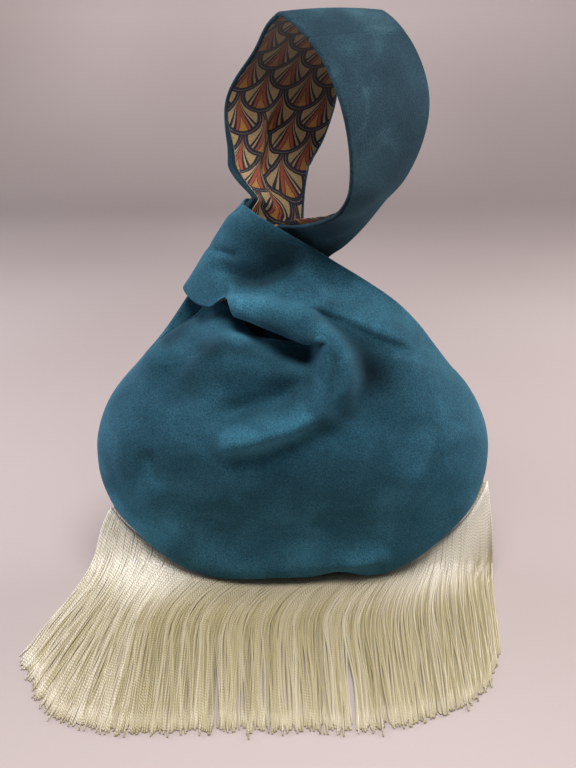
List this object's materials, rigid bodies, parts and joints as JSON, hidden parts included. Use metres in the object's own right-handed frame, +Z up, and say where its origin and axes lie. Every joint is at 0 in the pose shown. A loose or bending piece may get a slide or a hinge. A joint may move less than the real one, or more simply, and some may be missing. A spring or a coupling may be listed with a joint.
{
  "type": "japanese knot bag",
  "caption": "Velvet wrist bag with a printed lining: the long handle passes through the short one to close the bag, and a long cord fringe hangs from the lower seam.",
  "frame": {"origin": "on the flat patch that the bag stands on, under the middle of the bag", "axes": "+Z up, -Y towards the side where the fringe lies, +X to the right of that side"},
  "size_m": [0.2913, 0.2345, 0.3519],
  "materials": {
    "velvet": "teal pile velvet",
    "lining": "printed cotton",
    "filler": "plain woven",
    "fringe": "satin rayon cord",
    "thread": "sewing thread"
  },
  "bodies": {
    "bag_body": {"outer_front_panel": "velvet", "outer_back_panel": "velvet", "lining_front_panel": "lining", "lining_back_panel": "lining", "short_handle_front_outer": "velvet", "short_handle_back_outer": "velvet", "short_handle_front_lining": "lining", "short_handle_back_lining": "lining", "fringe_header_tape": "filler", "side_seam_left": "thread", "side_seam_right": "thread", "fringe_left": "fringe", "fringe_centre_left": "fringe", "fringe_centre_right": "fringe", "fringe_right": "fringe"},
    "handle_neck": {"neck_front_outer": "velvet", "neck_back_outer": "velvet", "neck_front_lining": "lining", "neck_back_lining": "lining"},
    "handle_loop": {"loop_front_outer": "velvet", "loop_back_outer": "velvet", "loop_front_interfacing": "filler", "loop_back_interfacing": "filler", "loop_front_lining": "lining", "loop_back_lining": "lining", "loop_join_seam": "thread"}
  },
  "joints": [
    {"name": "handle_draw", "type": "slide", "parent": "bag_body", "child": "handle_neck", "axis": [0.5446, 0, 0.8387], "range_m": [0, 0.018]},
    {"name": "handle_flop", "type": "hinge", "parent": "handle_neck", "child": "handle_loop", "pos_m": [-0.0071, 0.0256, 0.2314], "axis": [-0.8387, 0, 0.5446], "range_deg": [0, 50]}
  ]
}
